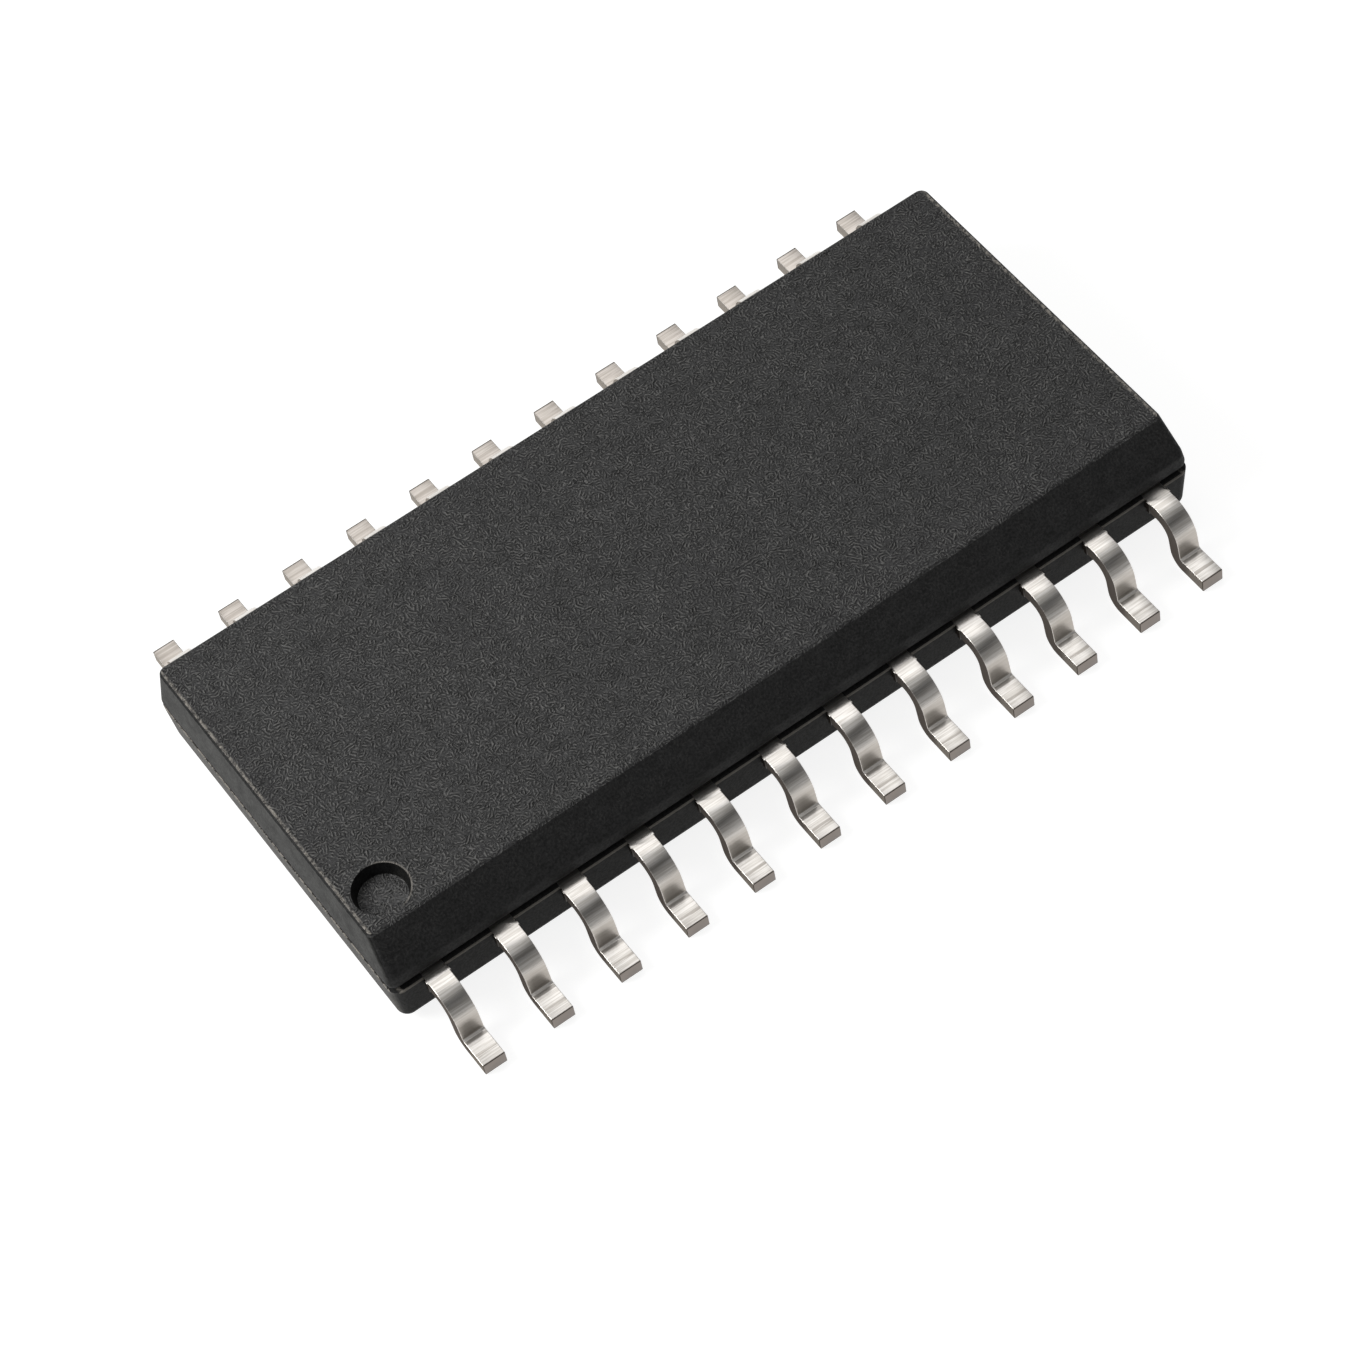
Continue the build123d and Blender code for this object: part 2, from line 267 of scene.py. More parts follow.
@dataclass(frozen=True)
class MouldCompound:
    """Silica-filled epoxy, transfer moulded, whose top copies the spark-eroded face of the mould."""

    # The filler under a thin skin of resin makes the black dull and a little grey. The relief on the
    # top catches light as short curved strokes, which are painted: painted highlight on the ridges
    # and painted shade in the grooves. The bevel and the sides, drawn off a smoother wall, are
    # plainer, and each facing is painted its own tone for the light it gets: painted shade on the
    # bevel and the long sides, painted light on the lower ends. The ends are mottled, and flash shows
    # as a pale broken line; the same pale colour paints highlights on the top's end edges, the ledge
    # and the dimple's rim.
    name: str = "Epoxy mould compound, eroded top"
    ground: str = "#393939"
    # The groove is painted shade and the stroke a painted highlight on the relief.
    groove_shade: str = "#212121"
    stroke_highlight: str = "#6c6b69"
    dimple_floor: str = "#454545"
    # Painted shade on the bevel and the long sides, painted light on the lower ends.
    shaded_bevel: str = "#272727"
    shaded_lower_side: str = "#222221"
    end: str = "#292927"
    lit_lower_end: str = "#45433f"
    # Flash, also painting highlights on the top's end edges, the ledge and the dimple's rim.
    flash_and_highlight: str = "#aaa49b"

    # Epoxy has an IOR near 1.55 and, moulded matt, a roughness near 0.5. Both are then matched to the
    # real part, whose filled and eroded skin shows less gloss, and least on the smooth lower half.
    roughness: float = 0.60
    ior: float = 1.38
    gloss_share: float = 0.35
    lower_gloss_share: float = 0.18

    # The strokes have the length and spacing of the real relief. Their direction turns by as many
    # radians as the full range of the wandering pattern.
    wander: Grain = Grain(0.24, 1.0)
    turn_radians: float = 14.0
    stroke_mm: float = 0.15
    spacing_mm: float = 0.055
    straightness: float = 0.85
    stroke_middle: float = 0.5
    stroke_gain: float = 6.0
    groove_levels: Range = (-0.9, -0.15)
    ridge_levels: Range = (0.15, 0.9)
    groove_share: float = 0.7
    bevel_stroke_share: float = 0.12
    relief_depth_mm: float = 0.006
    top_relief_share: float = 0.75
    bevel_relief_share: float = 0.25

    # Patches are strokes that the resin filled more or less. Filler grains, 0.02 mm across, are too
    # fine to show, so the grit is drawn twice as coarse.
    patch: Grain = Grain(0.7, 3.0)
    mottle: Grain = Grain(0.25, 4.0)
    grit: Grain = Grain(0.04, 3.0)
    patch_shares: Range = (0.5, 0.8)
    tones: Range = (0.74, 1.26)
    mottle_shares: Range = (0.35, 1.0)
    grit_depth_mm: float = 0.006
    grit_strength: float = 0.6

    # How far up, or towards an end, the surface of each part of the body faces.
    top_facing: Range = (0.80, 0.98)
    bevel_facing: Range = (0.45, 0.60)
    end_facing: Range = (0.5, 0.9)
    corner_facing: float = 0.707
    corner_reach: float = 0.15
    corner_share: float = 0.7

    # Pale lines, 0.1 mm wide or less: a painted glint on the edges of the top's ends, a painted
    # highlight on the ledge, and the broken line of flash.
    fleck: Grain = Grain(0.08, 2.0)
    parting_fade_mm: float = 0.02
    glint_mm: float = 0.055
    glint_facing: Range = (0.9, 0.99)
    glint_flecks: Range = (0.40, 0.60)
    glint_shares: Range = (0.1, 0.6)
    seam_mm: float = 0.05
    ledge_highlight_share: float = 0.5
    dash_flecks: Range = (0.44, 0.54)
    dash_shares: Range = (0.1, 0.9)

    # The pin that makes the dimple is smooth. Its wall takes painted shade, and its rim a painted
    # highlight on the +X side.
    wall_foot_mm: float = 0.01
    wall_shade_share: float = 0.75
    rim_out_mm: float = 0.012
    rim_mm: float = 0.02
    rim_highlight_fade_mm: float = 0.3
    rim_highlight_share: float = 0.35

    places: BodyPlaces = field(default_factory=BodyPlaces)

    def relief(self, tree: bpy.types.NodeTree, place: bpy.types.NodeSocket) -> bpy.types.NodeSocket:
        """Draw short curved strokes, side by side, whose direction wanders over the surface.

        Args:
            tree: Node tree of the material.
            place: Coordinates in millimetres.

        Returns:
            Socket from -1 in a groove to 1 on a ridge.
        """
        add = partial(add_node, tree)
        turn = add(Node.TIMES, self.wander.draw(tree, place), self.turn_radians)
        frequency = self.stroke_mm / self.spacing_mm
        strokes = add(Node.STROKES, place, 1 / self.stroke_mm, frequency, self.straightness, turn)
        return add(Node.TIMES, add(Node.MINUS, strokes, self.stroke_middle), self.stroke_gain)

    def flash_and_highlight_share(
        self, tree: bpy.types.NodeTree, place: bpy.types.NodeSocket, up: bpy.types.NodeSocket
    ) -> bpy.types.NodeSocket:
        """Find painted highlights on the top's end edges and ledge, and flash on the parting line.

        Args:
            tree: Node tree of the material.
            place: Coordinates in millimetres.
            up: How far up the surface faces.

        Returns:
            Socket that is 1 on a line and 0 elsewhere.
        """
        add = partial(add_node, tree)
        end_x = add(Node.SIZE_OF, add(Node.X_OF, place))
        side_y = add(Node.SIZE_OF, add(Node.Y_OF, place))
        flecks = self.fleck.draw(tree, place)
        # Painted glint, broken into spots, on the edges of the top's ends.
        on_edge = line_at(tree, end_x, self.places.top_end_x, self.glint_mm)
        wear_and_painted_light = add(Node.TIMES, on_edge, add(Node.SPAN, up, *self.glint_facing))
        spots = add(Node.SPAN, flecks, *self.glint_flecks, *self.glint_shares)
        wear_and_painted_light = add(Node.TIMES, wear_and_painted_light, spots)
        # Painted highlight along the ledge, and flash as dashes along the seam at the ends.
        seam = line_at(tree, add(Node.Z_OF, place), self.places.parting_z, self.seam_mm)
        ledge_highlight = add(Node.TIMES, seam, add(Node.ABOVE, side_y, self.places.ledge_y))
        at_end = add(Node.TIMES, seam, add(Node.ABOVE, end_x, self.places.ledge_x))
        dashes = add(Node.SPAN, flecks, *self.dash_flecks, *self.dash_shares)
        dashes = add(Node.TIMES, at_end, dashes)
        lines = add(Node.LARGER, add(Node.TIMES, ledge_highlight, self.ledge_highlight_share), dashes)
        return add(Node.LARGER, wear_and_painted_light, lines)

    def dimple_marks(
        self, tree: bpy.types.NodeTree, place: bpy.types.NodeSocket
    ) -> tuple[bpy.types.NodeSocket, bpy.types.NodeSocket, bpy.types.NodeSocket]:
        """Find the dimple's wall, its floor, and the side of its rim that takes a painted highlight.

        Args:
            tree: Node tree of the material.
            place: Coordinates in millimetres.

        Returns:
            Sockets that are 1 on the wall, on the floor and on the rim.
        """
        add = partial(add_node, tree)
        middle = (self.places.dimple_x, self.places.dimple_y, 0.0)
        away = add(Node.DISTANCE, add(Node.VECTOR_TIMES, place, (1.0, 1.0, 0.0)), middle)
        inside = add(Node.BELOW, away, self.places.dimple_radius)
        wall_foot_z = self.places.dimple_floor_z + self.wall_foot_mm
        wall = add(Node.TIMES, inside, add(Node.ABOVE, add(Node.Z_OF, place), wall_foot_z))
        floor = add(Node.MINUS, inside, wall)
        fade_end_x = self.places.dimple_x + self.rim_highlight_fade_mm
        right = add(Node.SPAN, add(Node.X_OF, place), self.places.dimple_x, fade_end_x)
        ring = line_at(tree, away, self.places.dimple_radius + self.rim_out_mm, self.rim_mm)
        return wall, floor, add(Node.TIMES, ring, right)

    def side_colour(
        self,
        tree: bpy.types.NodeTree,
        above: bpy.types.NodeSocket,
        facing_end: bpy.types.NodeSocket,
        on_facet: bpy.types.NodeSocket,
    ) -> bpy.types.NodeSocket:
        """Colour the long sides with the bevel, and the ends, each lighter or darker below the seam.

        Args:
            tree: Node tree of the material.
            above: 1 above the parting plane and 0 below it.
            facing_end: How far the surface faces an end.
            on_facet: How much of the relief's strokes shows on the bevel.

        Returns:
            Socket of the colour.
        """
        add = partial(add_node, tree)
        # Painted shade on the bevel and the long sides, painted light on the lower ends.
        shaded_bevel = add(Node.BLEND, on_facet, linear(self.shaded_bevel), linear(self.stroke_highlight))
        end = add(Node.BLEND, above, linear(self.lit_lower_end), linear(self.end))
        long_side = add(Node.BLEND, above, linear(self.shaded_lower_side), shaded_bevel)
        return add(Node.BLEND, add(Node.SPAN, facing_end, *self.end_facing), long_side, end)

    def speckle(
        self,
        tree: bpy.types.NodeTree,
        place: bpy.types.NodeSocket,
        grit: bpy.types.NodeSocket,
        facing_end: bpy.types.NodeSocket,
    ) -> bpy.types.NodeSocket:
        """Mix the mottle, strong on the ends, with the grit.

        Args:
            tree: Node tree of the material.
            place: Coordinates in millimetres.
            grit: Pattern of the grit.
            facing_end: How far the surface faces an end.

        Returns:
            Socket near 1 that the colour and the gloss are multiplied by.
        """
        add = partial(add_node, tree)
        mottle = add(Node.SPAN, self.mottle.draw(tree, place), *CLOUD_RANGE, *self.tones)
        share = add(Node.SPAN, facing_end, *self.end_facing, *self.mottle_shares)
        mottle = add(Node.PLUS, add(Node.TIMES, add(Node.MINUS, mottle, 1.0), share), 1.0)
        return add(Node.TIMES, mottle, add(Node.SPAN, grit, *CLOUD_RANGE, *self.tones))

    def build(self) -> bpy.types.Material:
        """Make the material.

        Returns:
            The material.
        """
        material, tree = new_material(self.name)
        add = partial(add_node, tree)
        place = millimetres(tree)
        normal = add(Node.SMOOTH_NORMAL)
        up = add(Node.Z_OF, normal)
        facing_end = add(Node.SIZE_OF, add(Node.X_OF, normal))
        z = add(Node.Z_OF, place)
        upper = add(Node.ABOVE, z, self.places.relief_z)
        on_top = add(Node.TIMES, add(Node.SPAN, up, *self.top_facing), upper)
        on_bevel = add(Node.TIMES, add(Node.SPAN, up, *self.bevel_facing), upper)
        above = add(Node.SPAN, z, self.places.parting_z - self.parting_fade_mm, self.places.parting_z)

        relief = self.relief(tree, place)
        grooves = add(Node.SPAN, relief, *self.groove_levels, *FALLING)
        grooves = add(Node.TIMES, grooves, self.groove_share)
        patches = add(Node.SPAN, self.patch.draw(tree, place), *CLOUD_RANGE, *self.patch_shares)
        strokes = add(Node.TIMES, add(Node.SPAN, relief, *self.ridge_levels), patches)

        wall, floor, painted_rim = self.dimple_marks(tree, place)
        top = add(Node.BLEND, floor, linear(self.ground), linear(self.dimple_floor))
        # Painted shade in the grooves, painted highlight on the ridges, faintly also on the bevel.
        top = add(Node.BLEND, grooves, top, linear(self.groove_shade))
        top = add(Node.BLEND, strokes, top, linear(self.stroke_highlight))
        on_facet = add(Node.TIMES, add(Node.TIMES, strokes, on_bevel), self.bevel_stroke_share)
        side = self.side_colour(tree, above, facing_end, on_facet)
        colour = add(Node.BLEND, on_top, side, top)

        grit = self.grit.draw(tree, place)
        speckle = self.speckle(tree, place, grit, facing_end)
        colour = add(Node.TINT, 1.0, colour, speckle)

        # The upright corners and the dimple's wall are in their own shade.
        corner = line_at(tree, facing_end, self.corner_facing, self.corner_reach)
        corner = add(Node.TIMES, corner, self.corner_share)
        dark = add(Node.LARGER, corner, add(Node.TIMES, wall, self.wall_shade_share))
        colour = add(Node.BLEND, dark, colour, BLACK)
        # Painted highlight on the +X side of the dimple's rim, then the pale lines.
        painted_rim = add(Node.TIMES, add(Node.TIMES, painted_rim, on_top), self.rim_highlight_share)
        pale = add(Node.LARGER, self.flash_and_highlight_share(tree, place, up), painted_rim)
        colour = add(Node.BLEND, pale, colour, linear(self.flash_and_highlight))

        not_end = add(Node.SPAN, facing_end, *self.end_facing, *FALLING)
        low_side = add(Node.TIMES, add(Node.MINUS, 1.0, above), not_end)
        gloss = add(Node.SPAN, low_side, 0.0, 1.0, self.gloss_share, self.lower_gloss_share)
        gloss = add(Node.TIMES, gloss, speckle)

        fine = add(Node.BUMP, grit, self.grit_depth_mm * MM, self.grit_strength)
        faint = add(Node.TIMES, on_bevel, self.bevel_relief_share)
        depth = add(Node.PLUS, add(Node.TIMES, on_top, self.top_relief_share), faint)
        height = add(Node.TIMES, relief, depth)
        bump = add(Node.BUMP, height, self.relief_depth_mm * MM, 1.0, fine)
        add(Node.SURFACE, add(Node.PLASTIC, colour, self.roughness, self.ior, gloss, bump))
        return material


@dataclass(frozen=True)
class TinPlate:
    """Matt tin electroplated on copper strip, stamped and then formed between dies."""

    # Matt tin is a warm, soft-edged silver. The dies drew it fine across the width, so each level
    # face is streaked. They rubbed the leg and a stripe of the foot dull, and the leg is also
    # painted darker as a painted reflection. The heel has a line of painted shade across it and
    # the crease a painted highlight. The sheared sides and the toe are rough and take little plate,
    # so they are much darker than the faces. The sides and the far row's feet also carry painted
    # reflection, and the dam bar's remains and the toe's edges take painted shade.
    name: str = "Matt tin plate, formed"
    bright: str = "#ebe7e2"
    dull: str = "#d0cbc4"
    # Rubbed dull, and on the leg also painted darker as painted reflection.
    wear_and_painted_light: str = "#b4ada5"
    # Sheared sides: darker on the near row's legs and lighter on the far row as painted reflection.
    sheared_foot: str = "#8d8780"
    shaded_sheared_leg: str = "#736d68"
    lit_sheared_back_row: str = "#a8a29b"
    # Painted reflection: the far row's feet are tinted darker.
    back_row_foot_shade: str = "#dad6d3"
    # Painted shade on the dam bar's remains.
    stub_shade: str = "#3d3935"
    toe_cut: str = "#877f79"
    painted_line_shade: str = "#5d5751"
    # Painted shade: dark lines at the heel, along the far row's +X edge and round the toe.

    # Plated metal starts from a roughness of 0.3, and more is added where it is rubbed or sheared.
    roughness: float = 0.31
    rubbed_roughness: float = 0.10
    sheared_roughness: float = 0.4
    crease_metal_loss: float = 0.9

    # Real drawing lines are some 0.005 mm apart, too fine to show, so they are drawn at 0.03 mm. The
    # coordinates are stretched to that size first, so the pattern itself has cells of 1.
    line_spacing_mm: float = 0.03
    line_length_mm: float = 0.8
    line: Grain = Grain(1.0, 3.0)
    line_levels: Range = (0.38, 0.62)
    line_depth_mm: float = 0.0012
    line_strength: float = 0.35

    # Distances from the middle of the part to marks on the leads, and how wide those are.
    toe_y: float = 4.99
    toe_start_mm: float = 0.006
    toe_full_mm: float = 0.003
    toe_underside_z: Range = (0.016, 0.022)
    outline_mm: float = 0.022
    outline_fade_mm: float = 0.004
    stripe_y: float = 4.78
    stripe_mm: float = 0.035
    stripe_rag_mm: float = 0.02
    heel_y: float = 4.49
    heel_mm: float = 0.05
    crease_y: float = 4.42
    crease_mm: float = 0.042
    leg_to_foot_y: Range = (4.50, 4.70)
    stub_y: float = 3.69

    # How far up, outward or sideways the surface of each part of a lead faces.
    foot_facing: Range = (0.90, 0.98)
    leg_facing: Range = (0.80, 0.98)
    bend_facing: Range = (0.35, 0.55)
    past_bend_facing: Range = (0.95, 0.80)
    side_facing: Range = (0.75, 0.92)
    rim_facing: Range = (0.20, 0.60)
    stub_facing: Range = (0.25, 0.55)

    # Strength of the marks, on the near row and on the far one where both are given.
    leg_share: float = 0.8
    stripe_shares: Range = (0.75, 0.25)
    heel_shares: Range = (0.55, 0.2)
    stub_shares: Range = (1.0, 0.25)

    def wear_and_painted_reflection_share(
        self,
        tree: bpy.types.NodeTree,
        y: bpy.types.NodeSocket,
        lines: bpy.types.NodeSocket,
        leg: bpy.types.NodeSocket,
        on_foot: bpy.types.NodeSocket,
    ) -> bpy.types.NodeSocket:
        """Find where the dies rubbed: the leg, partly painted reflection, and a ragged foot stripe.

        Args:
            tree: Node tree of the material.
            y: Place across the part in millimetres.
            lines: Pattern of the fine lines.
            leg: 1 on the leg.
            on_foot: 1 on the top of the foot.

        Returns:
            Socket that is 1 where it is rubbed most.
        """
        add = partial(add_node, tree)
        rag = add(Node.SPAN, lines, *CLOUD_RANGE, -self.stripe_rag_mm, self.stripe_rag_mm)
        ragged = add(Node.PLUS, add(Node.SIZE_OF, y), rag)
        stripe = line_at(tree, ragged, self.stripe_y, self.stripe_mm)
        by_row = add(Node.SPAN, y, *ROW_TO_ROW, *self.stripe_shares)
        stripe = add(Node.TIMES, add(Node.TIMES, stripe, on_foot), by_row)
        return add(Node.LARGER, add(Node.TIMES, leg, self.leg_share), stripe)

    def build(self) -> bpy.types.Material:
        """Make the material.

        Returns:
            The material.
        """
        material, tree = new_material(self.name)
        add = partial(add_node, tree)
        stretch = (1 / self.line_length_mm, 1 / self.line_spacing_mm, 1 / self.line_spacing_mm)
        lines = self.line.draw(tree, millimetres(tree, stretch))
        place = millimetres(tree)
        y = add(Node.Y_OF, place)
        outward = add(Node.SIZE_OF, y)
        back_row = add(Node.SPAN, y, *ROW_TO_ROW)
        normal, flat_normal = add(Node.SMOOTH_NORMAL), add(Node.FLAT_NORMAL)
        up = add(Node.Z_OF, normal)
        on_foot = add(Node.SPAN, up, *self.foot_facing)
        leg = add(Node.SPAN, add(Node.SIZE_OF, add(Node.Y_OF, normal)), *self.leg_facing)

        # The faces: fine lines; what is rubbed, the leg also painted darker as painted reflection;
        # painted shade across the heel; and a painted highlight on the crease that the punch left.
        plate = add(Node.SPAN, lines, *self.line_levels)
        plate = add(Node.BLEND, plate, linear(self.dull), linear(self.bright))
        wear_and_painted_light = self.wear_and_painted_reflection_share(tree, y, lines, leg, on_foot)
        colour = add(Node.BLEND, wear_and_painted_light, plate, linear(self.wear_and_painted_light))
        heel_shade = add(Node.TIMES, line_at(tree, outward, self.heel_y, self.heel_mm), on_foot)
        heel_shade = add(Node.TIMES, heel_shade, add(Node.SPAN, y, *ROW_TO_ROW, *self.heel_shares))
        colour = add(Node.BLEND, heel_shade, colour, linear(self.painted_line_shade))
        past_bend = add(Node.SPAN, up, *self.past_bend_facing)
        bend = add(Node.TIMES, add(Node.SPAN, up, *self.bend_facing), past_bend)
        crease_highlight = add(Node.TIMES, line_at(tree, outward, self.crease_y, self.crease_mm), bend)
        colour = add(Node.BLEND, crease_highlight, colour, linear(self.bright))

        # Painted reflection: the far row's feet are tinted darker, with a dark line along the
        # rolled edge at +X.
        colour = add(Node.TINT, add(Node.TIMES, back_row, on_foot), colour, linear(self.back_row_foot_shade))
        painted_rim = add(Node.SPAN, add(Node.X_OF, normal), *self.rim_facing)
        colour = add(Node.BLEND, add(Node.TIMES, back_row, painted_rim), colour, linear(self.painted_line_shade))

        # The cuts: the toe; the sheared sides, dark as sheared metal and with painted reflection,
        # darker on the near row's legs and lighter on the far row; and painted shade on what is left
        # of the dam bar at the body.
        toe_start, toe_full = self.toe_y - self.toe_start_mm, self.toe_y - self.toe_full_mm
        toe_face = add(Node.TIMES, leg, add(Node.SPAN, outward, toe_start, toe_full))
        colour = add(Node.BLEND, toe_face, colour, linear(self.toe_cut))
        side = add(Node.SIZE_OF, add(Node.X_OF, flat_normal))
        side = add(Node.SPAN, side, *self.side_facing)
        at_foot = add(Node.SPAN, outward, *self.leg_to_foot_y)
        sheared_with_painted_reflection = add(Node.BLEND, at_foot, linear(self.shaded_sheared_leg), linear(self.sheared_foot))
        sheared_with_painted_reflection = add(Node.BLEND, back_row, sheared_with_painted_reflection, linear(self.lit_sheared_back_row))
        colour = add(Node.BLEND, side, colour, sheared_with_painted_reflection)
        # Painted shade on the sloping faces of the dam bar's remains, under the body's overhang.
        not_level = add(Node.SPAN, add(Node.Z_OF, flat_normal), *self.stub_facing, *FALLING)
        stub_shade = add(Node.TIMES, add(Node.BELOW, outward, self.stub_y), not_level)
        stub_shade = add(Node.TIMES, stub_shade, add(Node.SPAN, back_row, 0.0, 1.0, *self.stub_shares))
        colour = add(Node.BLEND, stub_shade, colour, linear(self.stub_shade))

        # Painted shade: a dark line along the edge over the toe, and under the toe by the table.
        line_y = self.toe_y - self.outline_mm
        past_line = add(Node.SPAN, outward, line_y - self.outline_fade_mm, line_y)
        over = add(Node.TIMES, past_line, add(Node.MINUS, 1.0, toe_face))
        low = add(Node.SPAN, add(Node.Z_OF, place), *self.toe_underside_z, *FALLING)
        edges = add(Node.LARGER, over, add(Node.TIMES, toe_face, low))
        colour = add(Node.BLEND, edges, colour, linear(self.painted_line_shade))

        worn = add(Node.TIMES, wear_and_painted_light, self.rubbed_roughness)
        cut = add(Node.TIMES, add(Node.LARGER, crease_highlight, side), self.sheared_roughness)
        rough = add(Node.PLUS, add(Node.PLUS, self.roughness, worn), cut)
        # The crease's painted highlight is mostly diffuse.
        metallic = add(Node.MINUS, 1.0, add(Node.TIMES, crease_highlight, self.crease_metal_loss))
        edge_tint = add(Node.BLEND, side, WHITE, sheared_with_painted_reflection)
        bump = add(Node.BUMP, lines, self.line_depth_mm * MM, self.line_strength)
        add(Node.SURFACE, add(Node.METAL, colour, metallic, rough, edge_tint, bump))
        return material


@dataclass(frozen=True)
class InnerFinish:
    """Finish of a piece sealed in the body: a base colour with a slight mottle."""

    name: str
    light: str
    dark: str
    metallic: float
    roughness: float
    mottle: Grain = Grain(0.2, 2.0)

    def build(self) -> bpy.types.Material:
        """Make the material.

        Returns:
            The material.
        """
        material, tree = new_material(self.name)
        mottle = self.mottle.draw(tree, millimetres(tree))
        colour = add_node(tree, Node.BLEND, mottle, linear(self.dark), linear(self.light))
        shader = add_node(tree, Node.METAL, colour, self.metallic, self.roughness)
        add_node(tree, Node.SURFACE, shader)
        return material


# Rolled copper is a satin orange-pink. The glue's silver flakes make it a dull light grey. The
# die's polished layers are a dark blue-grey mirror, and the drawn gold wire is bright and yellow.
INNER_FINISHES = {
    Slot.COPPER_FRAME: InnerFinish("Copper strip, bare", "#c98c66", "#a96a48", 1.0, 0.35),
    Slot.DIE_GLUE: InnerFinish("Silver-filled die glue", "#a9a9ab", "#86868a", 0.6, 0.55),
    Slot.SILICON: InnerFinish("Polished silicon with circuit layers", "#4a4c58", "#2c2e38", 0.3, 0.2),
    Slot.BOND_WIRES: InnerFinish("Gold bond wire", "#e8bd66", "#d6a64a", 1.0, 0.2),
}


def dress(piece: bpy.types.Object, material: bpy.types.Material) -> None:
    """Give a piece one material.

    Args:
        piece: Mesh object.
        material: Material for all its faces.
    """
    piece.data.materials.clear()
    piece.data.materials.append(material)


def deselect_all() -> None:
    """Leave nothing selected."""
    bpy.ops.object.select_all(action="DESELECT")


@dataclass
class Leads:
    """The two rows of formed leads, with the edges rolled by stamping."""

    count: int = 24
    merge_distance: float = 1e-4 * MM
    flat_angle: float = math.radians(0.5)
    edge_roll: float = 0.016 * MM
    edge_segments: int = 3
    edge_angle: float = math.radians(40)
    smooth_angle: float = math.radians(35)
    finish: TinPlate = field(default_factory=TinPlate)

    def merged_copy(self, node_name: str, piece_name: str) -> bpy.types.Object:
        """Copy a solid's mesh to a new piece whose faces are joined.

        Args:
            node_name: Name of the solid.
            piece_name: Name of the new piece.

        Returns:
            The new piece, selected and active.
        """
        source = frame["nodes"][node_name]
        piece = bpy.data.objects.new(piece_name, source.data.copy())
        bpy.context.scene.collection.objects.link(piece)
        deselect_all()
        piece.select_set(True)
        bpy.context.view_layer.objects.active = piece
        bpy.ops.mesh.customdata_custom_splitnormals_clear()
        bpy.ops.object.mode_set(mode="EDIT")
        bpy.ops.mesh.select_all(action="SELECT")
        bpy.ops.mesh.remove_doubles(threshold=self.merge_distance)
        bpy.ops.mesh.dissolve_limited(angle_limit=self.flat_angle)
        bpy.ops.object.mode_set(mode="OBJECT")
        return piece

    def build(self) -> list[bpy.types.Object]:
        """Make every lead from its solid, with rolled edges and smooth bends.

        Returns:
            The new pieces.
        """
        material = self.finish.build()
        pieces = []
        for number in range(1, self.count + 1):
            node = f"lead_{number:02d}"
            piece = self.merged_copy(node, f"formed_{node}")
            roll = piece.modifiers.new("edge_roll", "BEVEL")
            roll.width = self.edge_roll
            roll.segments = self.edge_segments
            roll.limit_method = "ANGLE"
            roll.angle_limit = self.edge_angle
            bpy.ops.object.modifier_apply(modifier=roll.name)
            bpy.ops.object.shade_smooth_by_angle(angle=self.smooth_angle)
            dress(piece, material)
            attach(piece, ROOT_BODY)
            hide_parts(node)
            pieces.append(piece)
        return pieces


@dataclass
class Body:
    """The moulded body."""

    finish: MouldCompound = field(default_factory=MouldCompound)

    def build(self) -> bpy.types.Object:
        """Dress the body's solid.

        Returns:
            The solid's object.
        """
        body = frame["nodes"]["moulded_body"]
        dress(body, self.finish.build())
        return body


@dataclass
class SealedPieces:
    """Die pad, die, glue and wires inside the body."""

    def build(self) -> int:
        """Dress every sealed solid by its slot.

        Returns:
            How many were dressed.
        """
        materials = {slot.value: finish.build() for slot, finish in INNER_FINISHES.items()}
        dressed = 0
        for part in frame["record"]["subparts"]:
            material = materials.get(part["material_slot"])
            if material is not None:
                dress(frame["nodes"][part["node"]], material)
                dressed += 1
        return dressed


@dataclass(frozen=True)
class Softbox:
    """Square soft lamp that points at the part; its face's radiance is 1 for a lit white card."""

    name: str
    towards: tuple[float, float, float]
    away_mm: float
    side_mm: float
    radiance: float

    def build(self) -> None:
        """Add the lamp at its distance from the part."""
        data = bpy.data.lights.new(self.name, "AREA")
        data.shape = "SQUARE"
        data.size = self.side_mm * MM
        data.energy = self.radiance * math.pi * data.size**2
        lamp = bpy.data.objects.new(self.name, data)
        bpy.context.scene.collection.objects.link(lamp)
        place = Vector(self.towards).normalized() * self.away_mm * MM
        lamp.location = place
        lamp.rotation_euler = (-place).to_track_quat("-Z", "Y").to_euler()


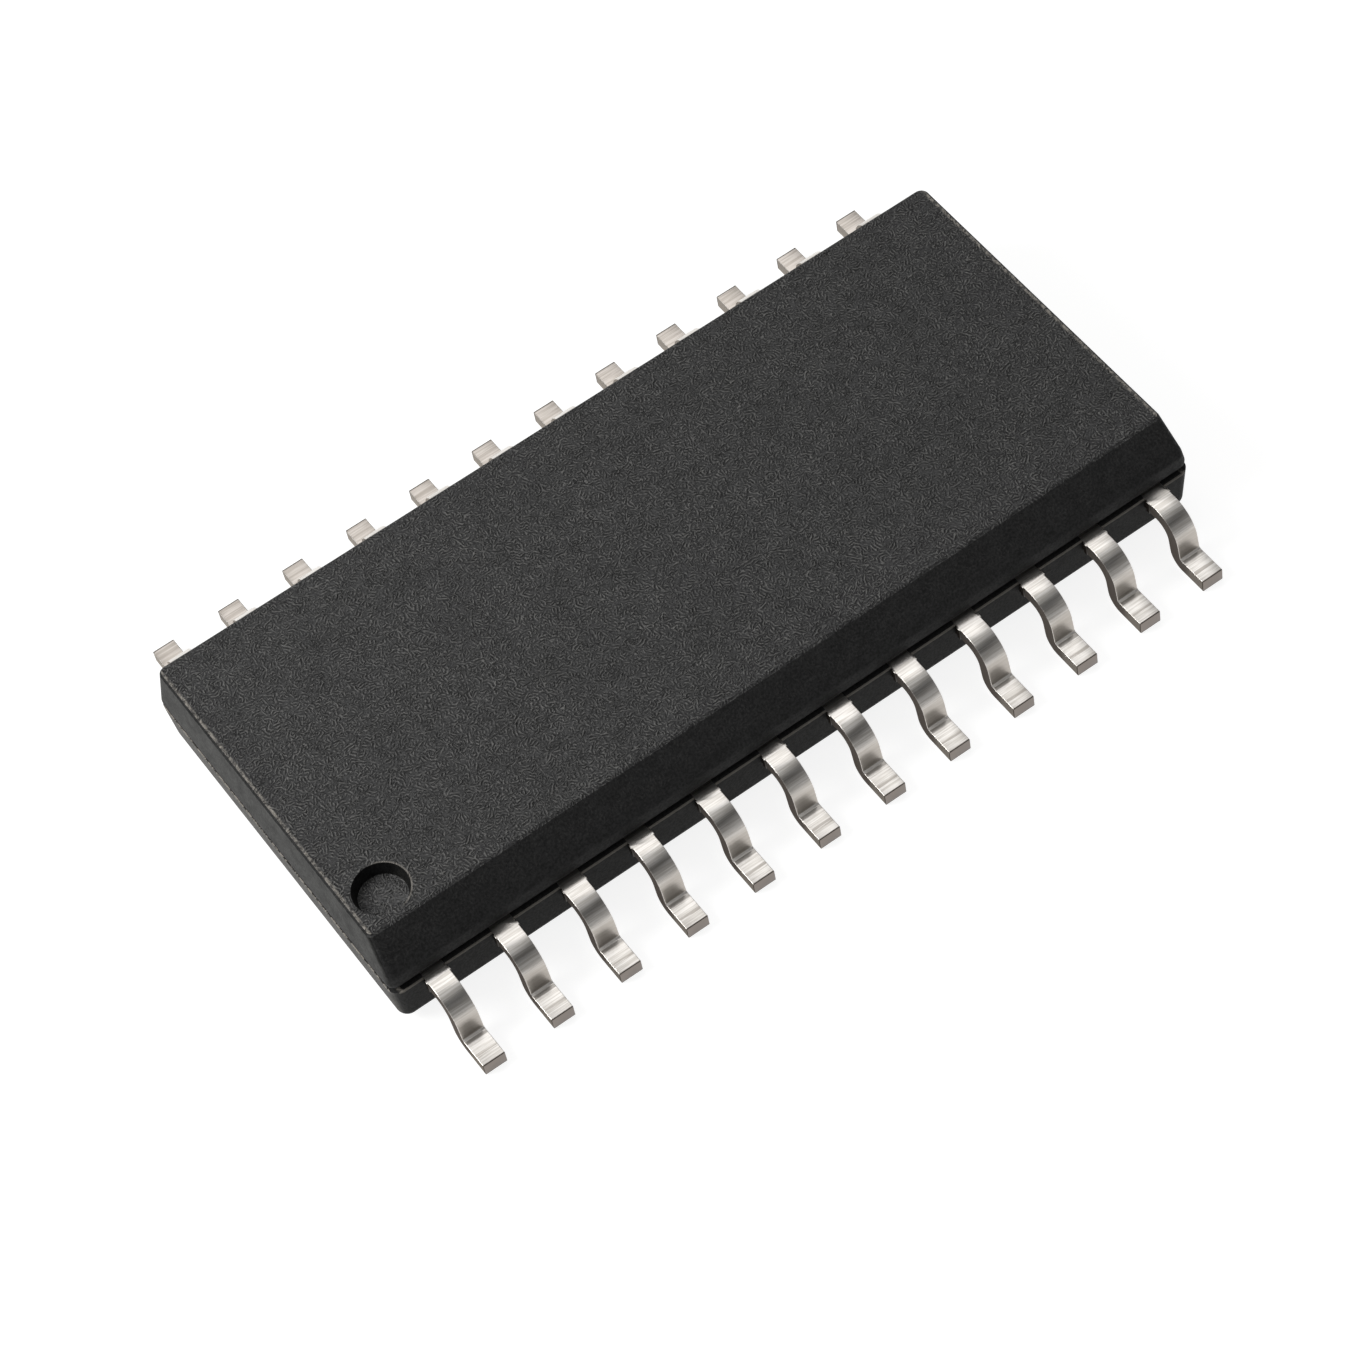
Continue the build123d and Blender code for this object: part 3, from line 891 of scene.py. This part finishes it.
@dataclass
class Studio:
    """White table, soft surround and two softboxes."""

    # The table returns light as a grey card does, and what it adds for the eye and for mirrors alone
    # makes it show white.
    floor_size: float = 1.2
    floor_drop: float = 0.02 * MM
    floor_colour: str = "#989897"
    floor_lift: float = 0.86
    surround_strength: float = 0.62

    # Height in the sky, from 0 at the horizon to 1 overhead, with the level of grey there. In front,
    # the dark stretch is what the upper bends of the leads mirror as their dark band.
    front_stops: tuple[Range, ...] = (
        (0.0, 0.62),
        (0.30, 0.50),
        (0.50, 0.44),
        (0.64, 0.22),
        (0.74, 0.07),
        (0.88, 0.07),
        (0.94, 0.40),
        (1.0, 0.82),
    )
    back_stops: tuple[Range, ...] = (
        (0.0, 0.75),
        (0.25, 0.42),
        (0.42, 0.20),
        (0.54, 0.26),
        (0.68, 0.66),
        (1.0, 0.82),
    )
    front_to_back: Range = (-0.45, 0.10)
    lamps: tuple[Softbox, ...] = (
        Softbox("Left softbox", (-0.72, 0.30, 0.62), 60, 32, 8.0),
        Softbox("Back softbox", (0.20, 0.58, 0.79), 150, 120, 1.15),
    )

    def floor(self) -> None:
        """Make the table just under the feet: grey to the light it returns, white to the eye."""
        deselect_all()
        bpy.ops.mesh.primitive_plane_add(size=self.floor_size, location=(0, 0, -self.floor_drop))
        table = bpy.context.active_object
        table.name = "table"
        material, tree = new_material("White table")
        add = partial(add_node, tree)
        diffuse = add(Node.DIFFUSE, linear(self.floor_colour))
        seen = add(Node.LARGER, add(Node.CAMERA_RAY), add(Node.GLOSSY_RAY))
        seen = add(Node.LARGER, seen, add(Node.TRANSMISSION_RAY))
        glow = add(Node.GLOW, WHITE, add(Node.TIMES, seen, self.floor_lift))
        add(Node.SURFACE, add(Node.BOTH_SHADERS, diffuse, glow))
        dress(table, material)

    def sky(
        self, tree: bpy.types.NodeTree, up: bpy.types.NodeSocket, stops: tuple[Range, ...]
    ) -> bpy.types.NodeSocket:
        """Shade the sky by height.

        Args:
            tree: Node tree of the world.
            up: Socket that is 0 at the horizon and 1 overhead.
            stops: Pairs of a height and its level.

        Returns:
            Socket of the grey level.
        """
        ramp = add_node(tree, Node.RAMP, up)
        elements = ramp.node.color_ramp.elements
        while len(elements) < len(stops):
            elements.new(0.5)
        for element, (position, level) in zip(elements, stops):
            element.position = position
            element.color = (level, level, level, 1)
        return ramp

    def surround(self) -> None:
        """Make the soft surround: pale overhead, with a dark band half way up and higher in front."""
        world = bpy.data.worlds.new("Soft surround")
        bpy.context.scene.world = world
        world.use_nodes = True
        tree = world.node_tree
        tree.nodes.clear()
        add = partial(add_node, tree)
        direction = add(Node.SKY_DIRECTION)
        up = add(Node.Z_OF, direction)
        behind = add(Node.SPAN, add(Node.Y_OF, direction), *self.front_to_back)
        front, back = self.sky(tree, up, self.front_stops), self.sky(tree, up, self.back_stops)
        level = add(Node.BLEND, behind, front, back)
        add(Node.WORLD, add(Node.SKY, level, self.surround_strength))

    def build(self) -> None:
        """Make the table, the surround and the softboxes."""
        self.floor()
        self.surround()
        for lamp in self.lamps:
            lamp.build()


@dataclass
class PhotoCamera:
    """Camera at the photograph's viewing angle."""

    location_mm: tuple[float, float, float] = (-16.756, -36.218, 55.375)
    target_mm: tuple[float, float, float] = (-0.996, -1.655, 1.0)
    roll: float = math.radians(-12.759)
    focal_pixels: float = 4193.3
    sensor_mm: float = 36.0
    clip_start: float = 1 * MM
    clip_end: float = 5.0

    def build(self) -> None:
        """Make the camera and set it as the scene's."""
        data = bpy.data.cameras.new("Photo camera")
        data.sensor_width = self.sensor_mm
        data.lens = self.focal_pixels * self.sensor_mm / PHOTO_PIXELS
        data.clip_start = self.clip_start
        data.clip_end = self.clip_end
        camera = bpy.data.objects.new("Photo camera", data)
        bpy.context.scene.collection.objects.link(camera)
        location, target = Vector(self.location_mm) * MM, Vector(self.target_mm) * MM
        turn = (target - location).to_track_quat("-Z", "Y").to_matrix()
        turn = turn @ Matrix.Rotation(self.roll, 3, "Z")
        camera.matrix_world = Matrix.Translation(location) @ turn.to_4x4()
        bpy.context.scene.camera = camera


def main() -> None:
    """Build the pieces in order and report each one."""
    logging.basicConfig(level=logging.INFO, format="%(name)s: %(message)s")
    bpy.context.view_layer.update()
    PhotoCamera().build()
    LOG.info("camera ready")
    Studio().build()
    LOG.info("studio ready")
    body = Body().build()
    LOG.info("dressed %s", body.name)
    for piece in Leads().build():
        LOG.info("formed %s", piece.name)
    LOG.info("dressed %d sealed pieces", SealedPieces().build())
    bpy.context.scene.view_settings.view_transform = "Standard"


if __name__ == "__main__":
    main()
